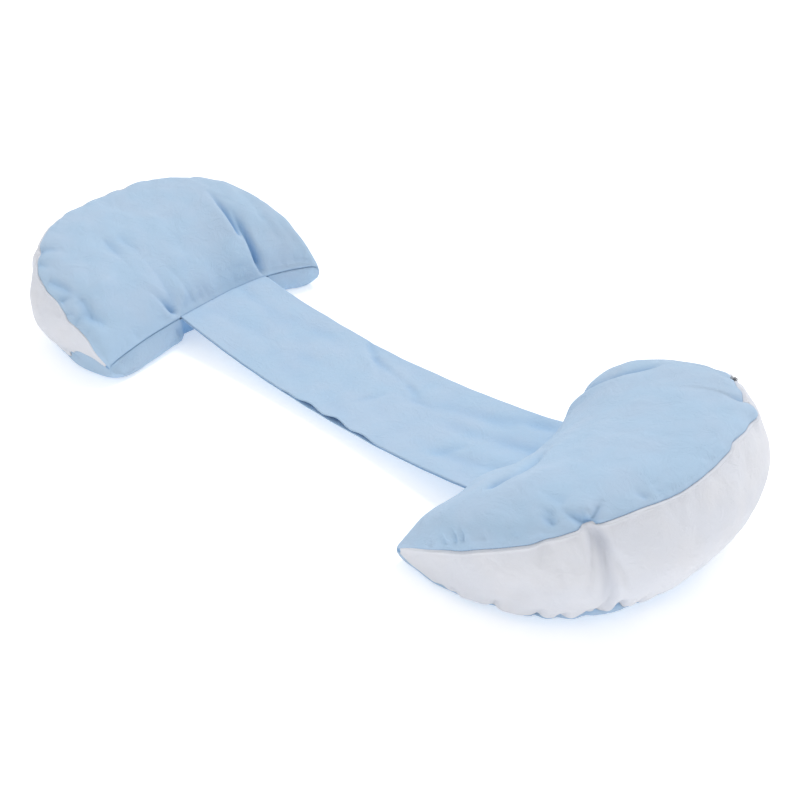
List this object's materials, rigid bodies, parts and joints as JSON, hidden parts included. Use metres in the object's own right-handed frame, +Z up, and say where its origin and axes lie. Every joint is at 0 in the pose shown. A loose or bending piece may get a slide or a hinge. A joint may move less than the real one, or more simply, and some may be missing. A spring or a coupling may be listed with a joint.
{
  "type": "pregnancy pillow",
  "caption": "Side sleeper's pregnancy pillow: filled crescent wedge cushions with white walls at either end of a folded cloth band.",
  "frame": {"origin": "middle of the footprint, on the surface that the pillow lies on", "axes": "+X along the band from the left cushion to the right one, +Z up"},
  "size_m": [1.0146, 0.4346, 0.1567],
  "materials": {
    "blue_cotton": "plain woven cotton, matt",
    "white_cotton": "plain woven cotton, matt",
    "zip_metal": "satin"
  },
  "bodies": {
    "root": {"cushion_left": "blue_cotton", "cushion_right": "blue_cotton", "band": "blue_cotton", "gusset_left": "white_cotton", "gusset_right": "white_cotton", "zip_slider_right": "zip_metal"}
  },
  "joints": []
}
